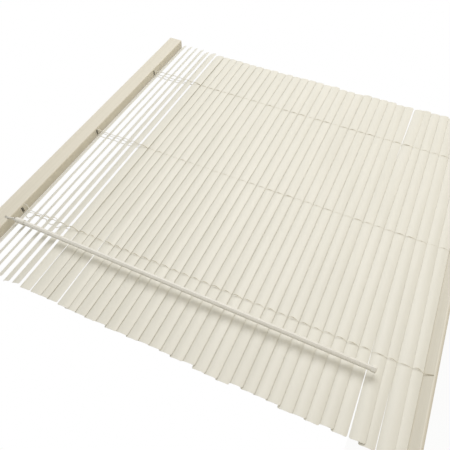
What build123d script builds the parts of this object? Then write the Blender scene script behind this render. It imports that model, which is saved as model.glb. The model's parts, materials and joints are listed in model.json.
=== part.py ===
"""A vinyl mini blind without pull cords, hung straight, its slats tilted shut.

An open-topped headrail carries a tilt rod with three ladder drums, turned by a worm
and gear from a hanging wand. Cord ladders hold the slats, and lift cords run behind
them from the bottom rail to a sealed spring unit in the headrail.

X runs along the slats with the wand at -X, -Y faces the room and +Z is up.
The origin is the middle of the headrail's back face.
"""
import os
from math import cos, radians, sin, sqrt

from build123d import *

os.makedirs("parts", exist_ok=True)

# Fits shared by all pieces
overrun = 1
running_gap = 0.3
slip_gap = 0.1

# Headrail channel
headrail_length = 860
headrail_height = 36
headrail_depth = 26
headrail_wall = 1.4
headrail_lip = 4.5
headrail_corner = 3

# Headrail end caps
cap_plate = 2
cap_spigot = 9

# Slats, with tilts in degrees from flat and the front edge down
slat_count = 39
slat_length = 848
slat_width = 25
slat_thickness = 0.5
slat_rise = 2.2
slat_corner = 2
slat_pitch = 21.8
first_slat_drop = 12.5
crowded_count = 7
crowded_pitch = 18.3
top_tilts = [48, 47, 47, 50, 55, 62, 75, 79]
closed_tilt = 80

# Ladders and lift cords
ladder_inset = 151
ladder_cord = 0.9
ladder_gap = 0.3
rail_standoff = 0.5
rung_reach = 1.1
lift_cord = 1.2
lift_offset = 11
lift_depth = 10.2
lift_hole = 2
lift_run_height = 3.2
lift_run_step = 3
lift_turn = 4

# Tilt rod, drums and cradles
rod_height = -1
rod_flats = 4.5
rod_overhang = 14
drum_radius = 6.7
drum_flange = 9
drum_flange_wall = 1.5
drum_width = 14
journal_radius = 4
journal_length = 3
cradle_wall = 1.6
cradle_wall_width = 14
cradle_length = 19
cradle_base = 1.4
cradle_width = 17.6
cradle_rim = 2
floor_opening_length = 16
floor_opening_width = 6

# Tilter
tilter_inset = 120.5
tilter_length = 18
tilter_height = 23
tilter_wall = 1.6
tilter_edge = 1.5
gear_teeth = 12
gear_root = 3.4
gear_sink = 3
gear_tip = 4.9
gear_width = 6
tooth_foot = 1.4
tooth_crest = 0.7
worm_radius = 2.2
worm_above = 2
worm_below = 9
stem_lean = 20
stem_radius = 1.9
stem_drop = 36
eye_radius = 3
eye_hole = 1.5
eye_thickness = 1.8

# Wand
hook_wire = 1.2
hook_reach = 2.5
hook_bend = 1.1
hook_drop = 6
hook_seat = 5
wand_flats = 8.5
wand_length = 736
sleeve_wall = 0.7
sleeve_length = 20
sleeve_drop = 2
tip_wall = 0.8
tip_floor = 2.5
tip_depth = 6
tip_edge = 1.5

# Lift spring unit
unit_length = 116
unit_height = 11.5
unit_edge = 1.5

# Bottom rail
bottom_drop = 23
bottom_tilt = 50
bottom_width = 25
bottom_height = 9
bottom_corner = 3.5
bottom_wall = 1.3
bottom_cap_plate = 1.5
bottom_cap_spigot = 6
button_head = 5
button_head_height = 1.4
ladder_tail_inset = 3

# Places worked out from the sizes above
slat_y = -headrail_depth / 2
floor_z = headrail_wall - headrail_height / 2
inner_depth = headrail_depth - 2 * headrail_wall
ladder_reach = slat_length / 2 - ladder_inset
ladder_places = [-ladder_reach, 0, ladder_reach]
lift_places = [x + lift_offset for x in ladder_places]
unit_start = (ladder_reach - unit_length) / 2
tilter_x = tilter_inset - headrail_length / 2
slat_tilts = top_tilts + [closed_tilt] * (slat_count - len(top_tilts))
first_slat_z = -headrail_height / 2 - first_slat_drop
crowded_heights = [first_slat_z - n * crowded_pitch for n in range(crowded_count)]
spread_count = slat_count - crowded_count
slat_heights = crowded_heights + [crowded_heights[-1] - (n + 1) * slat_pitch for n in range(spread_count)]
bottom_z = slat_heights[-1] - bottom_drop
drum_length = drum_width + 2 * journal_length
rod_round = rod_flats / 2 / cos(radians(30))
wand_round = wand_flats / 2 / cos(radians(30))


def section_plane(x, z, tilt=0):
    """A plane across the blind, local x to the back and local y up, turned by tilt."""
    turn = radians(tilt)
    return Plane(origin=(x, slat_y, z), x_dir=(0, cos(turn), sin(turn)), z_dir=(1, 0, 0))


def face_plane(z, tilt=0):
    """A plane along the blind, local x along it and local z up, turned by tilt."""
    turn = radians(tilt)
    return Plane(origin=(0, slat_y, z), x_dir=(1, 0, 0), z_dir=(0, -sin(turn), cos(turn)))


def tilted_point(across, above, z, tilt):
    """Where a point of a tilted section lies, as a depth and a height."""
    turn = radians(tilt)
    depth = across * cos(turn) - above * sin(turn)
    return depth, z + across * sin(turn) + above * cos(turn)


def strip(points):
    """The flat outline of a ladder cord along points that run mostly up and down."""
    front = [(depth - ladder_cord / 2, height) for depth, height in points]
    back = [(depth + ladder_cord / 2, height) for depth, height in reversed(points)]
    return front + back


def save(piece, name):
    piece.part.label = name
    export_step(piece.part, f"parts/{name}.step")


# Stem axis, leaning to the room as it goes down, past the front of the gear
stem_turn = radians(stem_lean)
worm_spacing = gear_tip + running_gap + worm_radius
stem_start = (
    tilter_x,
    slat_y - worm_spacing * cos(stem_turn),
    rod_height + worm_spacing * sin(stem_turn),
)
stem_plane = Plane(origin=stem_start, x_dir=(1, 0, 0), z_dir=(0, -sin(stem_turn), -cos(stem_turn)))
eye_y = stem_start[1] - stem_drop * sin(stem_turn)
eye_z = stem_start[2] - stem_drop * cos(stem_turn)

# Headrail, an open channel with lips, openings in its floor and one for the stem
with BuildPart() as headrail:
    with BuildSketch(section_plane(-headrail_length / 2, 0)) as channel:
        Rectangle(headrail_depth, headrail_height)
        fillet(channel.vertices().group_by(Axis.Y)[0], headrail_corner)
        offset(amount=-headrail_wall, mode=Mode.SUBTRACT)
        with Locations((0, headrail_height / 2)):
            Rectangle(headrail_depth - 2 * headrail_lip, 2 * headrail_wall + overrun, mode=Mode.SUBTRACT)
    extrude(amount=headrail_length)
    with BuildSketch(face_plane(floor_z + overrun)):
        with Locations(*[(x, 0) for x in ladder_places]):
            Rectangle(floor_opening_width, floor_opening_length)
        with Locations(*[(x, lift_depth) for x in lift_places]):
            Rectangle(lift_hole, lift_hole)
    extrude(amount=-headrail_wall - 2 * overrun, mode=Mode.SUBTRACT)
    with BuildSketch(stem_plane):
        Rectangle(2 * worm_radius + 2 * running_gap, 2 * worm_radius + 2 * running_gap)
    extrude(amount=stem_drop, mode=Mode.SUBTRACT)
save(headrail, "headrail")

# End caps, a plate over the channel's end with a spigot inside it
for side, name in ((-1, "end_cap_left"), (1, "end_cap_right")):
    end_plane = Plane(
        origin=(side * headrail_length / 2, slat_y, 0), x_dir=(0, 1, 0), z_dir=(1, 0, 0)
    )
    with BuildPart() as end_cap:
        with BuildSketch(end_plane) as plate:
            Rectangle(headrail_depth, headrail_height)
            fillet(plate.vertices().group_by(Axis.Y)[0], headrail_corner)
        extrude(amount=side * cap_plate)
        with BuildSketch(end_plane) as spigot:
            Rectangle(headrail_depth, headrail_height)
            fillet(spigot.vertices().group_by(Axis.Y)[0], headrail_corner)
            offset(amount=-headrail_wall - slip_gap, mode=Mode.REPLACE)
        extrude(amount=-side * cap_spigot)
    save(end_cap, name)

# Tilt rod, from the tilter to just past the last drum
with BuildPart() as tilt_rod:
    rod_start = tilter_x - tilter_length / 2 + running_gap
    with BuildSketch(section_plane(rod_start, rod_height)):
        RegularPolygon(rod_flats / 2, 6, major_radius=False)
    extrude(amount=ladder_reach + rod_overhang - rod_start)
save(tilt_rod, "tilt_rod")

# Ladder drums, spools with a journal at each end, on the rod
with BuildPart() as ladder_drums:
    for x in ladder_places:
        with BuildSketch(section_plane(x - drum_length / 2, rod_height)):
            Circle(journal_radius)
        extrude(amount=drum_length)
        with BuildSketch(section_plane(x - drum_width / 2, rod_height)):
            Circle(drum_radius)
        extrude(amount=drum_width)
        with BuildSketch(
            section_plane(x - drum_width / 2, rod_height),
            section_plane(x + drum_width / 2 - drum_flange_wall, rod_height),
        ):
            Circle(drum_flange)
        extrude(amount=drum_flange_wall)
    with BuildSketch(section_plane(-ladder_reach - drum_length, rod_height)):
        RegularPolygon(rod_flats / 2 + slip_gap, 6, major_radius=False)
    extrude(amount=2 * ladder_reach + 2 * drum_length, mode=Mode.SUBTRACT)
save(ladder_drums, "ladder_drums")

# Cradles, a base on the headrail's floor with two notched walls that hold a drum
with BuildPart() as cradles:
    wall_start = drum_width / 2 + running_gap
    wall_top = rod_height + cradle_rim
    for x in ladder_places:
        with BuildSketch(face_plane(floor_z)):
            with Locations((x, 0)):
                Rectangle(cradle_length, cradle_width)
                Rectangle(floor_opening_width, floor_opening_length, mode=Mode.SUBTRACT)
        extrude(amount=cradle_base)
        with BuildSketch(
            section_plane(x - wall_start - cradle_wall, rod_height),
            section_plane(x + wall_start, rod_height),
        ):
            with Locations((0, (wall_top + floor_z) / 2 - rod_height)):
                Rectangle(cradle_wall_width, wall_top - floor_z)
            Circle(journal_radius + slip_gap, mode=Mode.SUBTRACT)
            with Locations((0, cradle_rim)):
                Rectangle(2 * journal_radius + 2 * slip_gap, 2 * cradle_rim, mode=Mode.SUBTRACT)
        extrude(amount=cradle_wall)
save(cradles, "cradles")

# Tilter gear, keyed on the rod
with BuildPart() as tilter_gear:
    with BuildSketch(section_plane(tilter_x - gear_width / 2, rod_height)):
        Circle(gear_root)
        with PolarLocations(0, gear_teeth):
            Polygon(
                (gear_sink, -tooth_foot / 2),
                (gear_tip, -tooth_crest / 2),
                (gear_tip, tooth_crest / 2),
                (gear_sink, tooth_foot / 2),
                align=None,
            )
        RegularPolygon(rod_flats / 2 + slip_gap, 6, major_radius=False, mode=Mode.SUBTRACT)
    extrude(amount=gear_width)
save(tilter_gear, "tilter_gear")

# Tilter worm, its stem and the eye that the wand hangs from
with BuildPart() as tilter_worm:
    with BuildSketch(stem_plane.offset(-worm_above)):
        Circle(worm_radius)
    extrude(amount=worm_above + worm_below)
    with BuildSketch(stem_plane):
        Circle(stem_radius)
    extrude(amount=stem_drop - eye_hole)
    eye_plane = Plane(
        origin=(tilter_x - eye_thickness / 2, eye_y, eye_z), x_dir=(0, 1, 0), z_dir=(1, 0, 0)
    )
    with BuildSketch(eye_plane):
        Circle(eye_radius)
    extrude(amount=eye_thickness)
    with BuildSketch(eye_plane):
        Circle(eye_hole)
    extrude(amount=stem_radius + eye_thickness, both=True, mode=Mode.SUBTRACT)
save(tilter_worm, "tilter_worm")

# Tilter housing, a cover open to the floor, slotted for the rod and the stem
with BuildPart() as tilter_housing:
    housing_middle = floor_z + tilter_height / 2
    with BuildSketch(section_plane(tilter_x - tilter_length / 2, housing_middle)) as shell:
        Rectangle(inner_depth - 2 * slip_gap, tilter_height)
        fillet(shell.vertices().group_by(Axis.Y)[0], headrail_corner - headrail_wall)
        chamfer(shell.vertices().group_by(Axis.Y)[-1], tilter_edge)
    extrude(amount=tilter_length)
    with BuildSketch(section_plane(tilter_x + tilter_wall - tilter_length / 2, housing_middle - tilter_wall)):
        Rectangle(inner_depth - 2 * slip_gap - 2 * tilter_wall, tilter_height)
    extrude(amount=tilter_length - 2 * tilter_wall, mode=Mode.SUBTRACT)
    rod_slot_top = rod_height + rod_round + running_gap
    with BuildSketch(section_plane(tilter_x - tilter_length / 2 - overrun, rod_slot_top)):
        with Locations((0, (floor_z - rod_slot_top) / 2)):
            Rectangle(2 * rod_round + 2 * running_gap, rod_slot_top - floor_z)
    extrude(amount=tilter_length + 2 * overrun, mode=Mode.SUBTRACT)
    with BuildSketch(stem_plane):
        Rectangle(2 * worm_radius + 2 * running_gap, 2 * worm_radius + 2 * running_gap)
    extrude(amount=stem_drop, mode=Mode.SUBTRACT)
save(tilter_housing, "tilter_housing")

# Wand hook, a wire stirrup through the eye with both legs set in the wand
wand_top = eye_z - hook_drop
with BuildPart() as wand_hook:
    with BuildLine() as stirrup:
        FilletPolyline(
            (tilter_x - hook_reach, eye_y, wand_top - hook_seat),
            (tilter_x - hook_reach, eye_y, eye_z),
            (tilter_x + hook_reach, eye_y, eye_z),
            (tilter_x + hook_reach, eye_y, wand_top - hook_seat),
            radius=hook_bend,
        )
    with BuildSketch(Plane(origin=stirrup.line @ 0, z_dir=stirrup.line % 0)):
        RegularPolygon(hook_wire / 2, 6)
    sweep()
save(wand_hook, "wand_hook")

# Wand, a six-sided rod with two bores for the hook
wand_plane = Plane(origin=(tilter_x, eye_y, wand_top))
with BuildPart() as wand:
    with BuildSketch(wand_plane):
        RegularPolygon(wand_flats / 2, 6, major_radius=False, rotation=30)
    extrude(amount=-wand_length)
    with BuildSketch(wand_plane):
        with Locations((-hook_reach, 0), (hook_reach, 0)):
            Circle(hook_wire / 2 + slip_gap)
    extrude(amount=-hook_seat - slip_gap, mode=Mode.SUBTRACT)
save(wand, "wand")

# Wand sleeve, a loose collar round the top of the wand
with BuildPart() as wand_sleeve:
    with BuildSketch(wand_plane.offset(-sleeve_drop)):
        Circle(wand_round + slip_gap + sleeve_wall)
        Circle(wand_round + slip_gap, mode=Mode.SUBTRACT)
    extrude(amount=-sleeve_length)
save(wand_sleeve, "wand_sleeve")

# Wand tip, a six-sided cup on the lower end
with BuildPart() as wand_tip:
    with BuildSketch(wand_plane.offset(tip_depth - wand_length)):
        RegularPolygon(wand_flats / 2 + slip_gap + tip_wall, 6, major_radius=False, rotation=30)
    extrude(amount=-tip_depth - tip_floor)
    chamfer(wand_tip.faces().sort_by(Axis.Z)[0].edges(), tip_edge)
    with BuildSketch(wand_plane.offset(tip_depth - wand_length)):
        RegularPolygon(wand_flats / 2 + slip_gap, 6, major_radius=False, rotation=30)
    extrude(amount=-tip_depth, mode=Mode.SUBTRACT)
save(wand_tip, "wand_tip")

# Lift spring unit, a sealed box on the floor of the headrail under the rod
with BuildPart() as lift_spring_unit:
    with BuildSketch(section_plane(unit_start, floor_z + unit_height / 2)) as box:
        Rectangle(inner_depth - 2 * slip_gap, unit_height)
        fillet(box.vertices().group_by(Axis.Y)[0], headrail_corner - headrail_wall)
        chamfer(box.vertices().group_by(Axis.Y)[-1], unit_edge)
    extrude(amount=unit_length)
save(lift_spring_unit, "lift_spring_unit")

# Lift cords, up behind the slats from the bottom rail and along the headrail to the spring unit
lift_end = bottom_z + bottom_width / 2 * sin(radians(bottom_tilt)) + ladder_gap
run_z = floor_z + lift_run_height
unit_ends = [unit_start, unit_start, unit_start + unit_length]
lift_runs = [run_z + lift_run_step, run_z, run_z]
with BuildPart() as lift_cords:
    for x, unit_x, run in zip(lift_places, unit_ends, lift_runs):
        with BuildLine() as route:
            FilletPolyline(
                (x, slat_y + lift_depth, lift_end),
                (x, slat_y + lift_depth, run),
                (unit_x, slat_y + lift_depth, run),
                radius=lift_turn,
            )
        with BuildSketch(Plane(origin=route.line @ 0, z_dir=route.line % 0)):
            RegularPolygon(lift_cord / 2, 6)
        sweep(path=route.line)
save(lift_cords, "lift_cords")

# Ladders, a front and a back rail with a rung behind each slat
rung_depth = slat_rise / 2 + ladder_gap + ladder_cord / 2
rung_half = slat_width / 2 + rung_reach
drum_line = drum_radius + slip_gap + ladder_cord / 2
front_rail = [(-drum_line, rod_height), (-drum_line, floor_z - headrail_wall)]
back_rail = [(drum_line, rod_height), (drum_line, floor_z - headrail_wall)]
rungs = []
for number, (z, tilt) in enumerate(zip(slat_heights, slat_tilts), start=1):
    half_depth = slat_width / 2 * cos(radians(tilt)) + rail_standoff
    rung_front = tilted_point(-rung_half, -rung_depth, z, tilt)
    rung_back = tilted_point(rung_half, -rung_depth, z, tilt)
    rungs.append([rung_front, rung_back])
    if number <= len(top_tilts) + 1 or number == slat_count:
        front_rail.append((-half_depth, rung_front[1]))
        back_rail.append((rung_back[0] + ladder_cord + slip_gap, rung_back[1]))
tail_above = bottom_height / 2 + ladder_gap + ladder_cord / 2
tail_across = bottom_width / 2 - ladder_tail_inset
front_rail.append(tilted_point(-tail_across, tail_above, bottom_z, bottom_tilt))
back_rail.append(tilted_point(bottom_width / 2 + ladder_gap + ladder_cord / 2, 0, bottom_z, bottom_tilt))

with BuildSketch(section_plane(-ladder_cord / 2, 0)) as ladder_outline:
    for cord in [front_rail, back_rail] + rungs:
        Polygon(*strip(cord), align=None)
for x, name in zip(ladder_places, ("ladder_left", "ladder_middle", "ladder_right")):
    with BuildPart() as ladder:
        extrude(ladder_outline.sketch.moved(Location((x, 0, 0))), amount=ladder_cord)
    save(ladder, name)

# Slats, crowned strips with clipped corners
crown_radius = (slat_width**2 / 4 + slat_rise**2) / (2 * slat_rise)
wide_half = slat_width / 2 + overrun
wide_drop = crown_radius - sqrt(crown_radius**2 - wide_half**2)
crest = slat_rise / 2
for number, (z, tilt) in enumerate(zip(slat_heights, slat_tilts), start=1):
    with BuildPart() as slat:
        with BuildSketch(section_plane(-slat_length / 2 - overrun, z, tilt)):
            with BuildLine():
                under = ThreePointArc((-wide_half, crest - wide_drop), (0, crest), (wide_half, crest - wide_drop))
                over = ThreePointArc(
                    (-wide_half, crest - wide_drop + slat_thickness),
                    (0, crest + slat_thickness),
                    (wide_half, crest - wide_drop + slat_thickness),
                )
                Line(under @ 0, over @ 0)
                Line(under @ 1, over @ 1)
            make_face()
        extrude(amount=slat_length + 2 * overrun)
        with BuildSketch(face_plane(z, tilt)) as blank:
            Rectangle(slat_length, slat_width)
            chamfer(blank.vertices(), slat_corner)
        extrude(amount=slat_rise + slat_thickness, both=True, mode=Mode.INTERSECT)
    save(slat, f"slat_{number:02d}")

# Bottom rail, a hollow strip
with BuildPart() as bottom_rail:
    with BuildSketch(section_plane(-slat_length / 2, bottom_z, bottom_tilt)) as hollow:
        RectangleRounded(bottom_width, bottom_height, bottom_corner)
        offset(amount=-bottom_wall, mode=Mode.SUBTRACT)
    extrude(amount=slat_length)
save(bottom_rail, "bottom_rail")

# Bottom rail end caps
with BuildPart() as bottom_rail_caps:
    for side in (-1, 1):
        cap_end = section_plane(side * slat_length / 2, bottom_z, bottom_tilt)
        with BuildSketch(cap_end):
            RectangleRounded(bottom_width, bottom_height, bottom_corner)
        extrude(amount=side * bottom_cap_plate)
        with BuildSketch(cap_end):
            Rectangle(bottom_width - 2 * bottom_corner, bottom_height - 2 * bottom_wall - 2 * slip_gap)
        extrude(amount=-side * bottom_cap_spigot)
save(bottom_rail_caps, "bottom_rail_caps")

# Cord buttons, discs that hold the ladder ends under the bottom rail
under_rail = face_plane(bottom_z, bottom_tilt).offset(-bottom_height / 2)
with BuildPart() as cord_buttons:
    with BuildSketch(under_rail):
        with Locations(*[(x, 0) for x in ladder_places]):
            Circle(button_head)
    extrude(amount=-button_head_height)
save(cord_buttons, "cord_buttons")
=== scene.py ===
# %% [markdown]
# A vinyl mini blind, dressed for its picture.
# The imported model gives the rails, the wand and the tilting works at their true size.
# This lesson adds what a solid model leaves plain: thin slats with rounded corners that
# lie a little unevenly, the cords that carry them, and a finish for every surface.

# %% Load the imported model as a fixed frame
import json
import math
import random

import bpy
from mathutils import Matrix, Vector

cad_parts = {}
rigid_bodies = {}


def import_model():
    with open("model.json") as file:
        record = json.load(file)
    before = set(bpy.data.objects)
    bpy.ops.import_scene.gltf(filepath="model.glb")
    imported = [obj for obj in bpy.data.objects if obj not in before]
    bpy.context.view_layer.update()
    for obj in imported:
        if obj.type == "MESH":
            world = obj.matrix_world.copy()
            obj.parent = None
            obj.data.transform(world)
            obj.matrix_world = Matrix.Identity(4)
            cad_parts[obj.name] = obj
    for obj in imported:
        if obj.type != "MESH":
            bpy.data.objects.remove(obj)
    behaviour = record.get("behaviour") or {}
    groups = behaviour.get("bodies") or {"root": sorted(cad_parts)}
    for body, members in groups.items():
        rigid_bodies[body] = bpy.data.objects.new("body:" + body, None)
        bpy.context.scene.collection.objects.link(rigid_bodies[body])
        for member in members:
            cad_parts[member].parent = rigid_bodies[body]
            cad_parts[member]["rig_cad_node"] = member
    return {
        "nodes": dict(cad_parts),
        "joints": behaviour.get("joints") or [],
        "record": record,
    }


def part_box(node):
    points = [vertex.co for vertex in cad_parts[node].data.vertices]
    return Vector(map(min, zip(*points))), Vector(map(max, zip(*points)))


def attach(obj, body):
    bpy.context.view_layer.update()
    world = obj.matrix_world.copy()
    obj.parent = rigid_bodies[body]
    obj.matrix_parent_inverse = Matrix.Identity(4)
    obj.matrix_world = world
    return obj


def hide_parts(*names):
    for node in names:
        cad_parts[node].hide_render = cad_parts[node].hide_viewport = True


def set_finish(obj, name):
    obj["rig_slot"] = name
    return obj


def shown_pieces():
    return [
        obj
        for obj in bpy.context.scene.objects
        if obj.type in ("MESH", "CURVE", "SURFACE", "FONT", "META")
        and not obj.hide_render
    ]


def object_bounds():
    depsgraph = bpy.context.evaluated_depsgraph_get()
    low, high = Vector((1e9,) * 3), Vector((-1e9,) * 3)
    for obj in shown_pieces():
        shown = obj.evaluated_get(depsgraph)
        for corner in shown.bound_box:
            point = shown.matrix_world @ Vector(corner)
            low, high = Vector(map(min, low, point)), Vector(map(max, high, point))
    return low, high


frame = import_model()
cad_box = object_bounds()
MM = 0.001
scene = bpy.context.scene
print("nodes", len(frame["nodes"]), "box", [tuple(round(c, 4) for c in corner) for corner in cad_box])

# %% [markdown]
# The camera stands low on the wand's side and is rolled, so that the headrail runs up the
# left of the picture and the slats fan out to the right, as when a blind is laid on a table.
# A rolled camera is easiest to place by its three own directions, given as vectors.

# %% Place the camera
camera_place = Vector((-0.681, -0.781, -0.675))
camera_right = Vector((0.42336, -0.00501, -0.90595))
camera_up = Vector((0.70880, -0.62096, 0.33467))
camera_back = camera_right.cross(camera_up)
camera_lens = bpy.data.cameras.new("camera")
camera_lens.lens = 38.0
camera_lens.sensor_width = 36.0
camera_lens.clip_start = 0.01
camera = bpy.data.objects.new("camera", camera_lens)
scene.collection.objects.link(camera)
turn = Matrix((camera_right, camera_up, camera_back)).transposed().to_4x4()
camera.matrix_world = Matrix.Translation(camera_place) @ turn
bpy.context.scene.camera = camera
print("camera", tuple(round(c, 3) for c in camera.location))

# %% [markdown]
# A slat is a strip of thin vinyl, formed to a shallow crown so that it stays straight. Its
# length and the places of its cords are measured on the model. Every slat hangs on a hinge
# line of the model, so its height and its tilt are read from the joints.

# %% The sizes of a slat, and what the model says of its place
SLAT_WIDTH = 25 * MM
SLAT_THICKNESS = 0.5 * MM
SLAT_RISE = 2.2 * MM
half_width = SLAT_WIDTH / 2
crown_radius = (SLAT_WIDTH**2 / 4 + SLAT_RISE**2) / (2 * SLAT_RISE)
slat_low, slat_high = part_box("slat_20")
slat_length = slat_high.x - slat_low.x
half_length = slat_length / 2
hinges = {joint["child"]: joint for joint in frame["joints"]}
slat_names = sorted(name for name in hinges if name.startswith("slat_"))
ladder_nodes = ["ladder_left", "ladder_middle", "ladder_right"]
ladder_places = [sum(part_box(name), Vector()).x / 2 for name in ladder_nodes]
print("slats", len(slat_names), "ladders at", [round(x, 4) for x in ladder_places])

# %% [markdown]
# Real slats never lie quite alike. Each is shifted a little along its length, and tips and
# twists by a degree or so. A few have slid down, whole or at one end, and left a gap above
# them. The chances come from a fixed seed, so the blind is the same each time.

# %% How each slat lies
# slats that have slid down whole, by slat number, and skewed ones, by slat number and end,
# with how far the slat or its tip has slid, in millimetres
SLID_SLATS = {6: 2.0, 7: 8.0, 8: 6.0, 9: 4.0, 10: 2.5, 11: 1.5}
SKEWED_ENDS = {(8, -1): 4.5, (11, -1): 5.0, (33, 1): 7.0, (36, -1): 6.5, (38, -1): 5.2}
# angles are in degrees
SHIFT_SPREAD = 1.4 * MM
TIP_SPREAD = 1.3
TWIST_SPREAD = 1.5
# slats that are shut lean a little further, until each nearly rests on the next, and all
# slats stand more open at the wand's end
SHUT_TILT = 74
SHUT_LEAN = 1.7
TWIST_LEAN = 1.0
DICE_SEED = 7


def rest_tilt(name):
    """A slat's tilt in the model, which is half of the way that it can turn."""
    return -hinges[name]["range_deg"][0] / 2


dice = random.Random(DICE_SEED)
lies = {}
for number, name in enumerate(slat_names, start=1):
    tilt = rest_tilt(name)
    if tilt > SHUT_TILT:
        tilt += SHUT_LEAN
    lies[name] = {
        "shift": dice.gauss(0, SHIFT_SPREAD),
        "tilt": tilt + dice.uniform(-TIP_SPREAD, TIP_SPREAD),
        "twist": TWIST_LEAN + dice.uniform(-TWIST_SPREAD, TWIST_SPREAD),
        "drop": SLID_SLATS.get(number, 0) * MM,
        "skews": {side: SKEWED_ENDS.get((number, side), 0) * MM for side in (-1, 1)},
    }
lies["bottom_rail"] = {
    "shift": 0, "tilt": rest_tilt("bottom_rail"), "twist": 0, "drop": 0, "skews": {-1: 0, 1: 0},
}
print("tilts from", round(min(lie["tilt"] for lie in lies.values()), 1), "degrees")

# %% [markdown]
# One function says where a point of a slat lies in the frame. The slat and its cords both
# use it, so they always meet. Another goes the other way, from the frame to the slat.

# %% Places on a slat
def lie_angle(name, along):
    lie = lies[name]
    return math.radians(lie["tilt"] + lie["twist"] * along / half_length)


def lie_slide(name, along):
    """How far a slat has slid down its own plane at a place along it."""
    lie = lies[name]
    return lie["drop"] + lie["skews"][1 if along > 0 else -1] * abs(along) / half_length


def slat_point(name, along, across, above):
    """A point of a slat in the frame, from its place along, across and above the slat."""
    angle = lie_angle(name, along)
    across -= lie_slide(name, along)
    x, y, z = hinges[name]["pos_m"]
    return Vector((
        x + along + lies[name]["shift"],
        y + across * math.cos(angle) - above * math.sin(angle),
        z + across * math.sin(angle) + above * math.cos(angle),
    ))


def slat_place(name, along, point):
    """How far across and above a slat a point of the frame lies."""
    angle = lie_angle(name, along)
    x, y, z = hinges[name]["pos_m"]
    back, up = point.y - y, point.z - z
    across = back * math.cos(angle) + up * math.sin(angle) + lie_slide(name, along)
    return across, up * math.cos(angle) - back * math.sin(angle)


def crown(across):
    """How high the crowned inner face of a slat stands at a place across it."""
    return SLAT_RISE / 2 - crown_radius + math.sqrt(crown_radius**2 - across**2)


print("middle of slat_01", tuple(round(c, 4) for c in slat_point("slat_01", 0, 0, 0)))

# %% [markdown]
# The slat starts as one flat face. A vertex bevel rounds its corners, bisect cuts give it
# enough edges to curve, and a Solidify modifier gives it its thickness. A box with a bent
# top would do too, but a sheet with a wall is how the strip is really made. It is modelled
# once, and each copy is laid in its own place.

# %% Small helpers for modelling
def deselect_all():
    if bpy.context.object and bpy.context.object.mode != "OBJECT":
        bpy.ops.object.mode_set(mode="OBJECT")
    bpy.ops.object.select_all(action="DESELECT")


def select_only(piece):
    deselect_all()
    piece.select_set(True)
    bpy.context.view_layer.objects.active = piece


def apply_modifiers(piece):
    select_only(piece)
    for name in [modifier.name for modifier in piece.modifiers]:
        bpy.ops.object.modifier_apply(modifier=name)


# %% One slat, flat on its own axes
SLAT_CORNER = 3 * MM
CORNER_SEGMENTS = 6
CUTS_ALONG = 48
CUTS_ACROSS = 10
SLAT_SMOOTH_DEGREES = 30
deselect_all()
bpy.ops.mesh.primitive_plane_add(size=1, location=(0, 0, 0))
slat_master = bpy.context.object
slat_master.scale = (slat_length, SLAT_WIDTH, 1)
bpy.ops.object.transform_apply(location=False, rotation=False, scale=True)
bpy.ops.object.mode_set(mode="EDIT")
bpy.ops.mesh.select_all(action="SELECT")
bpy.ops.mesh.bevel(offset=SLAT_CORNER, segments=CORNER_SEGMENTS, affect="VERTICES")
for cut in range(1, CUTS_ACROSS):
    bpy.ops.mesh.select_all(action="SELECT")
    place = (cut / CUTS_ACROSS - 0.5) * SLAT_WIDTH
    bpy.ops.mesh.bisect(plane_co=(0, place, 0), plane_no=(0, 1, 0))
for cut in range(CUTS_ALONG + 1):
    bpy.ops.mesh.select_all(action="SELECT")
    place = (cut / CUTS_ALONG - 0.5) * (slat_length - 2 * SLAT_CORNER)
    bpy.ops.mesh.bisect(plane_co=(place, 0, 0), plane_no=(1, 0, 0))
bpy.ops.object.mode_set(mode="OBJECT")
for vertex in slat_master.data.vertices:
    vertex.co.z = crown(vertex.co.y)
wall = slat_master.modifiers.new("wall", "SOLIDIFY")
wall.thickness = SLAT_THICKNESS
wall.offset = 1
apply_modifiers(slat_master)
bpy.ops.object.shade_smooth_by_angle(angle=math.radians(SLAT_SMOOTH_DEGREES))
print("slat master", len(slat_master.data.polygons), "faces")

# %% Lay a copy of the slat in each place
for name in slat_names:
    slat = slat_master.copy()
    slat.data = slat_master.data.copy()
    slat.name = f"{name}_vinyl"
    slat.data.name = slat.name
    scene.collection.objects.link(slat)
    for vertex in slat.data.vertices:
        vertex.co = slat_point(name, *vertex.co)
    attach(slat, name)
    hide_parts(name)
    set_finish(slat, "slat_vinyl")
bpy.data.objects.remove(slat_master)
print("slats laid", len(slat_names))

# %% [markdown]
# Cord ladders carry the slats. In front, a cord drops from the edge of one slat, over the
# face of the next, to its edge, so it shows as a short line with a shadow under it. Behind,
# another cord runs from edge to edge, and a rung under the slat joins the two. Near the
# headrail the cords are slack and hang in small loops. The rungs turn with their slats. The
# long cords stay where they hang, because the slats' edges meet them again when the blind
# is tilted the other way. Round curves follow the slats better than bent cylinders would,
# and become meshes when they are done.

# %% Helpers for cords
CORD_RADIUS = 0.7 * MM
CORD_STEPS = 8
# a power under 1 puts the widest place of a slack stretch before its middle, and a power
# over 1 makes the full, untwisted part of the braid short
SWELL_SKEW = 0.85
FULL_POWER = 3
edge_reach = half_width + CORD_RADIUS


def edge_point(name, along, side):
    """Where a cord passes a slat's front edge, for a side of -1, or its back edge, for 1."""
    return slat_point(name, along, side * edge_reach, crown(half_width) + SLAT_THICKNESS / 2)


def swell(share):
    """How far a slack stretch of cord stands off at a share of its length, from 0 to 1."""
    return math.sin(math.pi * share**SWELL_SKEW)


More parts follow.
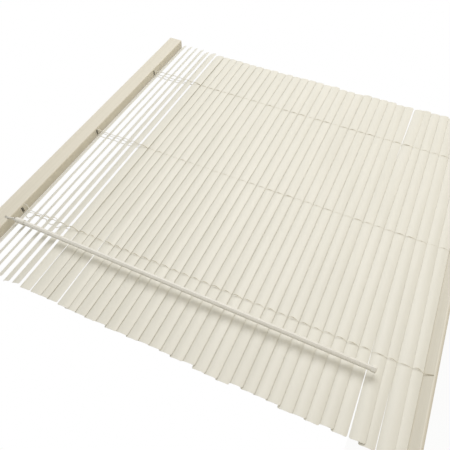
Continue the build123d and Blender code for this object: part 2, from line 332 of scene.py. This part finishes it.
def draped(name, along, start, end, face, slack=(0, 0)):
    """Points of a cord held off one face of a slat, with its slack to the side and outwards."""
    first = slat_place(name, along, start)
    last = slat_place(name, along, end)
    points = []
    for step in range(CORD_STEPS + 1):
        share = step / CORD_STEPS
        across = first[0] + (last[0] - first[0]) * share
        above = first[1] + (last[1] - first[1]) * share
        above += face * slack[1] * swell(share)
        if abs(across) < half_width:
            if face > 0:
                above = max(above, crown(across) + SLAT_THICKNESS + CORD_RADIUS)
            else:
                above = min(above, crown(across) - CORD_RADIUS)
        points.append(slat_point(name, along + slack[0] * swell(share), across, above))
    return points


def new_cord(name, runs):
    """A mesh of round cords. A run is its points, its bulk and the share that its ends lose."""
    curve = bpy.data.curves.new(name, "CURVE")
    curve.dimensions = "3D"
    curve.bevel_depth = CORD_RADIUS
    curve.bevel_resolution = 2
    curve.resolution_u = 3
    curve.use_fill_caps = True
    for points, bulk, thin_share in runs:
        spline = curve.splines.new("NURBS")
        spline.points.add(len(points) - 1)
        for step, (place, point) in enumerate(zip(spline.points, points)):
            place.co = (*point, 1)
            full = swell(step / (len(points) - 1)) ** FULL_POWER
            place.radius = bulk * (1 - thin_share * (1 - full))
        spline.order_u = 3
        spline.use_endpoint_u = True
    cord = bpy.data.objects.new(name, curve)
    scene.collection.objects.link(cord)
    select_only(cord)
    bpy.ops.object.convert(target="MESH")
    return cord


# %% The stretch of each ladder beside each slat
# how far the loops of each ladder stand out at the headrail, for how many slats they go on,
# how far the cords below arch, and how thick they are, as shares of the full cord
LOOP_SLACKS = [11 * MM, 6 * MM, 5 * MM]
LOOP_SLATS = 7
LOOP_LEAN_SHARES = (-1, 0.6)
LOOP_OUT_SHARE = 0.3
LOOP_BULK_SHARE = 1.15
ARCH_SLACKS = [3.5 * MM, 2.4 * MM, 1.8 * MM]
ARCH_LEAN_SHARES = (0.4, 1.0)
ARCH_BULK_SHARES = [(0.55, 1.15), (0.2, 0.8), (0.3, 0.9)]
# the share of its thickness that the braid loses at the ends of a loop, and where it is tight
LOOP_THIN_SHARE = 0.15
TIGHT_THIN_SHARE = 0.72
RUNG_SAG = 0.6 * MM
DRUM_REACH = 7.25 * MM
drum_low, drum_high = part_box("ladder_drums")
drum_y = (drum_low.y + drum_high.y) / 2
drum_z = (drum_low.z + drum_high.z) / 2
mouth_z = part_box("headrail")[0].z
rails = {node: [] for node in ladder_nodes}
for number, name in enumerate(slat_names):
    rungs = []
    below = (slat_names + ["bottom_rail"])[number + 1]
    for node, place, loop_slack, arch_slack, bulk_shares in zip(
        ladder_nodes, ladder_places, LOOP_SLACKS, ARCH_SLACKS, ARCH_BULK_SHARES
    ):
        loose = loop_slack * max(0, 1 - number / LOOP_SLATS)
        bulk = LOOP_BULK_SHARE if loose else dice.uniform(*bulk_shares)
        thin_share = LOOP_THIN_SHARE if loose else TIGHT_THIN_SHARE
        along = place - lies[name]["shift"]
        front = edge_point(name, along, -1)
        back = edge_point(name, along, 1)
        back_foot = edge_point(below, along, 1)
        above = Vector((place, drum_y - DRUM_REACH, mouth_z))
        if number:
            above = edge_point(slat_names[number - 1], along, -1)
        lean = dice.uniform(*LOOP_LEAN_SHARES) * loose + dice.uniform(*ARCH_LEAN_SHARES) * arch_slack
        loop_out = LOOP_OUT_SHARE * loose
        front_slack = (lean, bulk * arch_slack + loop_out)
        rails[node].append((draped(name, along, above, front, 1, front_slack), bulk, thin_share))
        rails[node].append((draped(name, along, back, back_foot, -1, (-lean, loop_out)), 1, thin_share))
        rungs.append((draped(name, along, front, back, -1, (0, RUNG_SAG)), 1, TIGHT_THIN_SHARE))
    cord = new_cord(f"{name}_rungs", rungs)
    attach(cord, name)
    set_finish(cord, "cord_polyester")
print("rungs", len(slat_names) * len(ladder_nodes))

# %% The foot of each ladder, on the bottom rail
RAIL_HALF_HEIGHT = 4.5 * MM
TAIL_INSET = 3 * MM
TAIL_SHARES = (0.35, 0.7)
runs = []
for place in ladder_places:
    head = edge_point(slat_names[-1], place, -1)
    foot = slat_point("bottom_rail", place, TAIL_INSET - half_width, RAIL_HALF_HEIGHT + CORD_RADIUS)
    between = [head.lerp(foot, share) for share in TAIL_SHARES]
    runs.append(([head, *between, foot], 1, LOOP_THIN_SHARE))
cord = new_cord("bottom_rail_ladder_cords", runs)
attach(cord, "bottom_rail")
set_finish(cord, "cord_polyester")
print("ladder feet", len(runs))

# %% The long cords of each ladder, from its drum in the headrail
for node, place in zip(ladder_nodes, ladder_places):
    along = place - lies["slat_01"]["shift"]
    tops = []
    for side in (-1, 1):
        head = Vector((place, drum_y + side * DRUM_REACH, drum_z))
        mouth = Vector((place, drum_y + side * DRUM_REACH, mouth_z))
        tops.append([head, head.lerp(mouth, 0.5), mouth])
    back = edge_point("slat_01", along, 1)
    tops[1] += [tops[1][-1].lerp(back, 0.5), back]
    cord = new_cord(f"{node}_cords", [(top, 1, LOOP_THIN_SHARE) for top in tops] + rails[node])
    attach(cord, "headrail")
    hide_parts(node)
    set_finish(cord, "cord_polyester")
print("ladders", len(ladder_nodes))

# %% [markdown]
# The wand is an extruded rod with six sides. A real one has edges that are slightly rounded
# by the die, and they catch the light as thin lines, so the rod is made again here from a
# six-sided cylinder with a Bevel modifier, at the place and size of the model's own rod.

# %% The wand's rod
WAND_EDGE = 0.7 * MM
WAND_SMOOTH_DEGREES = 25
wand_low, wand_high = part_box("wand")
deselect_all()
bpy.ops.mesh.primitive_cylinder_add(
    vertices=6, radius=(wand_high.y - wand_low.y) / 2, depth=wand_high.z - wand_low.z,
    location=(wand_low + wand_high) / 2,
)
rod = bpy.context.object
rod.name = "wand_rod"
bpy.ops.object.transform_apply(location=True, rotation=True, scale=True)
rounding = rod.modifiers.new("rounding", "BEVEL")
rounding.width = WAND_EDGE
rounding.segments = 3
rounding.limit_method = "ANGLE"
apply_modifiers(rod)
bpy.ops.object.shade_smooth_by_angle(angle=math.radians(WAND_SMOOTH_DEGREES))
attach(rod, "wand")
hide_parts("wand")
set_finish(rod, "wand_plastic")
print("wand rod", len(rod.data.polygons), "faces")

# %% [markdown]
# Every finish is a small tree of shader nodes. Colours are written as the hex values that a
# picture shows, and one function turns them to the linear values that Blender works with.
# Patterns are sized in millimetres, on the coordinates of the object itself, so they stay
# on a piece when it moves.

# %% Colour and node helpers
def linear(hex_colour):
    """An sRGB hex colour as linear red, green, blue and alpha."""
    channels = [int(hex_colour[i:i + 2], 16) / 255 for i in (1, 3, 5)]
    return [c / 12.92 if c <= 0.04045 else ((c + 0.055) / 1.055) ** 2.4 for c in channels] + [1.0]


def add_node(owner, kind, settings=None, links=None, stops=(), **inputs):
    """A node of a kind, with its settings, linked sockets, stops of a ramp and constant inputs."""
    node = owner.node_tree.nodes.new(kind)
    for name, value in (settings or {}).items():
        setattr(node, name, value)
    for name, value in inputs.items():
        node.inputs[name.replace("_", " ")].default_value = value
    for name, socket in (links or {}).items():
        owner.node_tree.links.new(socket, node.inputs[name])
    for place, (level, hex_colour) in enumerate(stops):
        node.color_ramp.elements[place].position = level
        node.color_ramp.elements[place].color = linear(hex_colour)
    return node


def new_material(name):
    material = bpy.data.materials.new(name)
    material.use_nodes = True
    return material, material.node_tree.nodes["Principled BSDF"]


# %% [markdown]
# Slat vinyl is calendered: rolled out as a thin sheet between hot rollers and slit to width.
# That leaves a satin face with faint streaks along the strip, and a grain that is too fine
# to see, which is drawn coarser here so that it breaks the gloss a little.

# %% Slat vinyl
VINYL_IOR = 1.53
BUMP_DEPTH = 0.2 * MM
# the streaks' size along, through and across a slat
STREAK_SIZE = (250 * MM, 6.5 * MM, 22 * MM)
SLAT_GRAIN = 1.1 * MM


def slat_vinyl():
    material, shader = new_material("slat vinyl")
    links = material.node_tree.links
    coordinates = add_node(material, "ShaderNodeTexCoord").outputs["Object"]
    stretched = add_node(
        material, "ShaderNodeMapping", links={"Vector": coordinates},
        Scale=[1 / size for size in STREAK_SIZE],
    )
    streaks = add_node(
        material, "ShaderNodeTexNoise", links={"Vector": stretched.outputs["Vector"]},
        Scale=1.0, Detail=4.0,
    )
    tones = add_node(
        material, "ShaderNodeValToRGB", links={"Fac": streaks.outputs["Fac"]},
        stops=[(0.3, "#E7E5DC"), (0.75, "#EEECE4")],
    )
    links.new(tones.outputs["Color"], shader.inputs["Base Color"])
    grain = add_node(
        material, "ShaderNodeTexNoise", links={"Vector": coordinates}, Scale=1 / SLAT_GRAIN, Detail=2.0
    )
    bump = add_node(
        material, "ShaderNodeBump", links={"Height": grain.outputs["Fac"]},
        Strength=0.04, Distance=BUMP_DEPTH,
    )
    links.new(bump.outputs["Normal"], shader.inputs["Normal"])
    shader.inputs["Roughness"].default_value = 0.42
    shader.inputs["IOR"].default_value = VINYL_IOR
    return material


# %% [markdown]
# Rail vinyl is extruded through a die, which draws fine lines along the rail. They are too
# fine to see from here, so they are drawn as coarse as they need to show.

# %% Rail vinyl
# the lines' size along the rail and both ways round it
DIE_LINE_SIZE = (330 * MM, 2.5 * MM, 2.5 * MM)


def rail_vinyl():
    material, shader = new_material("rail vinyl")
    links = material.node_tree.links
    coordinates = add_node(material, "ShaderNodeTexCoord").outputs["Object"]
    stretched = add_node(
        material, "ShaderNodeMapping", links={"Vector": coordinates},
        Scale=[1 / size for size in DIE_LINE_SIZE],
    )
    lines = add_node(
        material, "ShaderNodeTexNoise", links={"Vector": stretched.outputs["Vector"]},
        Scale=1.0, Detail=3.0,
    )
    tones = add_node(
        material, "ShaderNodeValToRGB", links={"Fac": lines.outputs["Fac"]},
        stops=[(0.3, "#DFDACC"), (0.75, "#E6E1D5")],
    )
    links.new(tones.outputs["Color"], shader.inputs["Base Color"])
    bump = add_node(
        material, "ShaderNodeBump", links={"Height": lines.outputs["Fac"]},
        Strength=0.05, Distance=BUMP_DEPTH,
    )
    links.new(bump.outputs["Normal"], shader.inputs["Normal"])
    shader.inputs["Roughness"].default_value = 0.45
    shader.inputs["IOR"].default_value = VINYL_IOR
    return material


# %% [markdown]
# The small parts are moulded plastic, which is smooth with a slight mottle, and plated
# steel, which is bright. One function serves them all, because each is two close tones,
# broken by a grain whose size is given for each.

# %% Moulded plastics and metal
def grained(name, dark, light, grain_size, roughness, metallic=0.0, bump_strength=0.06):
    material, shader = new_material(name)
    links = material.node_tree.links
    coordinates = add_node(material, "ShaderNodeTexCoord").outputs["Object"]
    grain = add_node(
        material, "ShaderNodeTexNoise", links={"Vector": coordinates}, Scale=1 / grain_size, Detail=3.0
    )
    tones = add_node(
        material, "ShaderNodeValToRGB", links={"Fac": grain.outputs["Fac"]},
        stops=[(0.3, dark), (0.7, light)],
    )
    links.new(tones.outputs["Color"], shader.inputs["Base Color"])
    bump = add_node(
        material, "ShaderNodeBump", links={"Height": grain.outputs["Fac"]},
        Strength=bump_strength, Distance=grain_size / 4,
    )
    links.new(bump.outputs["Normal"], shader.inputs["Normal"])
    shader.inputs["Roughness"].default_value = roughness
    shader.inputs["Metallic"].default_value = metallic
    return material


# %% [markdown]
# Polyester cord is a matt braid. Where it lies on the slats its colour is darker, as painted shade for
# the shadows under it there, and it is paler near the headrail, so its colour changes with its height.

# %% Polyester cord
# the heights between which the cord turns from its painted shade to its pale tone
SHADE_FADE_RANGE = (-160 * MM, -110 * MM)


def cord_polyester():
    # the two darker tones of the cord are painted shade, for the shadows that it casts on the slats
    material = grained("polyester cord", "#C6BFAC", "#D6D0BF", 0.5 * MM, 0.8, bump_strength=0.3)
    base = material.node_tree.nodes["Principled BSDF"].inputs["Base Color"]
    painted_shade_tones = base.links[0].from_socket
    coordinates = add_node(material, "ShaderNodeTexCoord").outputs["Object"]
    height = add_node(material, "ShaderNodeSeparateXYZ", links={"Vector": coordinates}).outputs["Z"]
    # the painted shade on the cord fades out towards the headrail, by height
    shade_fade = add_node(
        material, "ShaderNodeMapRange", links={"Value": height},
        From_Min=SHADE_FADE_RANGE[0], From_Max=SHADE_FADE_RANGE[1],
    )
    colour = add_node(
        material, "ShaderNodeMixRGB", links={"Fac": shade_fade.outputs["Result"], "Color1": painted_shade_tones},
        Color2=linear("#EFECE2"),
    )
    material.node_tree.links.new(colour.outputs["Color"], base)
    return material


# %% Give every shown piece its finish
finishes = {
    "slat_vinyl": slat_vinyl(),
    "rail_vinyl": rail_vinyl(),
    "cap_plastic": grained("moulded vinyl", "#DCD6C8", "#E4DED0", 1.2 * MM, 0.5),
    "mechanism_plastic": grained("acetal", "#E0DED7", "#EAE8E2", 1.5 * MM, 0.4),
    "rod_steel": grained("zinc plated steel", "#A9AAA8", "#BDBEBB", 2.0 * MM, 0.35, metallic=1.0),
    "hook_steel": grained("plated steel wire", "#C8C8C6", "#D6D6D4", 1.0 * MM, 0.2, metallic=1.0),
    "wand_plastic": grained("pale styrene", "#ECEAE4", "#F3F1EC", 6.0 * MM, 0.25, bump_strength=0.02),
    "cord_polyester": cord_polyester(),
}
slots = {part["node"]: part["material_slot"] for part in frame["record"]["subparts"]}
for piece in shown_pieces():
    finish = finishes[piece.get("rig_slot") or slots[piece["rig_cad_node"]]]
    piece.data.materials.clear()
    piece.data.materials.append(finish)
print("finishes", [finish.name for finish in finishes.values()])

# %% [markdown]
# The blind is lit as for a catalogue: a big soft lamp in front, towards the far ends of the
# slats, a weaker one behind, so that the back shows too, and an even pale surround. The white
# background is only for the camera and for clear reflections, so it adds no light. The floor
# is white in the same way, and keeps a part of its own shading for the shadow.

# %% Surround
SURROUND_STRENGTH = 0.46
scene.view_settings.view_transform = "Standard"


def clear_ray(owner):
    """A socket that is 1 for rays from the camera, and for those that come by gloss or glass."""
    path = add_node(owner, "ShaderNodeLightPath").outputs
    either = add_node(
        owner, "ShaderNodeMath", {"operation": "MAXIMUM"},
        links={0: path["Is Camera Ray"], 1: path["Is Glossy Ray"]},
    )
    whichever = add_node(
        owner, "ShaderNodeMath", {"operation": "MAXIMUM"},
        links={0: either.outputs[0], 1: path["Is Transmission Ray"]},
    )
    return whichever.outputs[0]


world = bpy.data.worlds.new("surround")
scene.world = world
world.use_nodes = True
world.node_tree.nodes.clear()
seen = add_node(world, "ShaderNodeBackground", Color=linear("#FFFFFF"), Strength=1.0)
around = add_node(world, "ShaderNodeBackground", Color=linear("#FFFDF5"), Strength=SURROUND_STRENGTH)
sky = add_node(
    world, "ShaderNodeMixShader", links={0: clear_ray(world), 1: around.outputs[0], 2: seen.outputs[0]}
)
add_node(world, "ShaderNodeOutputWorld", links={"Surface": sky.outputs[0]})
print("surround", SURROUND_STRENGTH)

# %% Lamps
# the lamps' places from the middle of the blind, in metres, and their power in watts
KEY_OFFSET = Vector((0.85, -1.95, 0.3))
KEY_POWER = 26
BACK_OFFSET = Vector((-0.6, 2.2, 0.5))
BACK_POWER = 11
LAMP_SIZE = 1.6
centre = sum(cad_box, Vector()) / 2


def area_lamp(name, place, power):
    """A soft lamp at a place, aimed at the middle of the blind."""
    lamp = bpy.data.lights.new(name, "AREA")
    lamp.size = LAMP_SIZE
    lamp.energy = power
    holder = bpy.data.objects.new(name, lamp)
    scene.collection.objects.link(holder)
    holder.location = place
    holder.rotation_euler = (centre - place).to_track_quat("-Z", "Y").to_euler()


area_lamp("key lamp", centre + KEY_OFFSET, KEY_POWER)
area_lamp("back lamp", centre + BACK_OFFSET, BACK_POWER)
print("lamps aimed at", tuple(round(c, 3) for c in centre))

# %% A white floor below the blind
FLOOR_SIZE = 12
FLOOR_DROP = 600 * MM
FLOOR_SHADE = 0.06
deselect_all()
bpy.ops.mesh.primitive_plane_add(size=FLOOR_SIZE, location=(0, 0, cad_box[0].z - FLOOR_DROP))
floor = bpy.context.object
floor.name = "floor"
floor_finish, floor_shader = new_material("white floor")
floor_shader.inputs["Base Color"].default_value = linear("#EAE1CE")
floor_shader.inputs["Roughness"].default_value = 0.9
glow = add_node(floor_finish, "ShaderNodeEmission", Color=linear("#FFFFFF"), Strength=1.0)
glow_share = add_node(
    floor_finish, "ShaderNodeMath", {"operation": "MULTIPLY"}, links={0: clear_ray(floor_finish)}
)
glow_share.inputs[1].default_value = 1 - FLOOR_SHADE
surface = add_node(
    floor_finish, "ShaderNodeMixShader",
    links={0: glow_share.outputs[0], 1: floor_shader.outputs[0], 2: glow.outputs[0]},
)
floor_output = floor_finish.node_tree.nodes["Material Output"]
floor_finish.node_tree.links.new(surface.outputs[0], floor_output.inputs["Surface"])
floor.data.materials.append(floor_finish)
print("floor at", round(floor.location.z, 3))
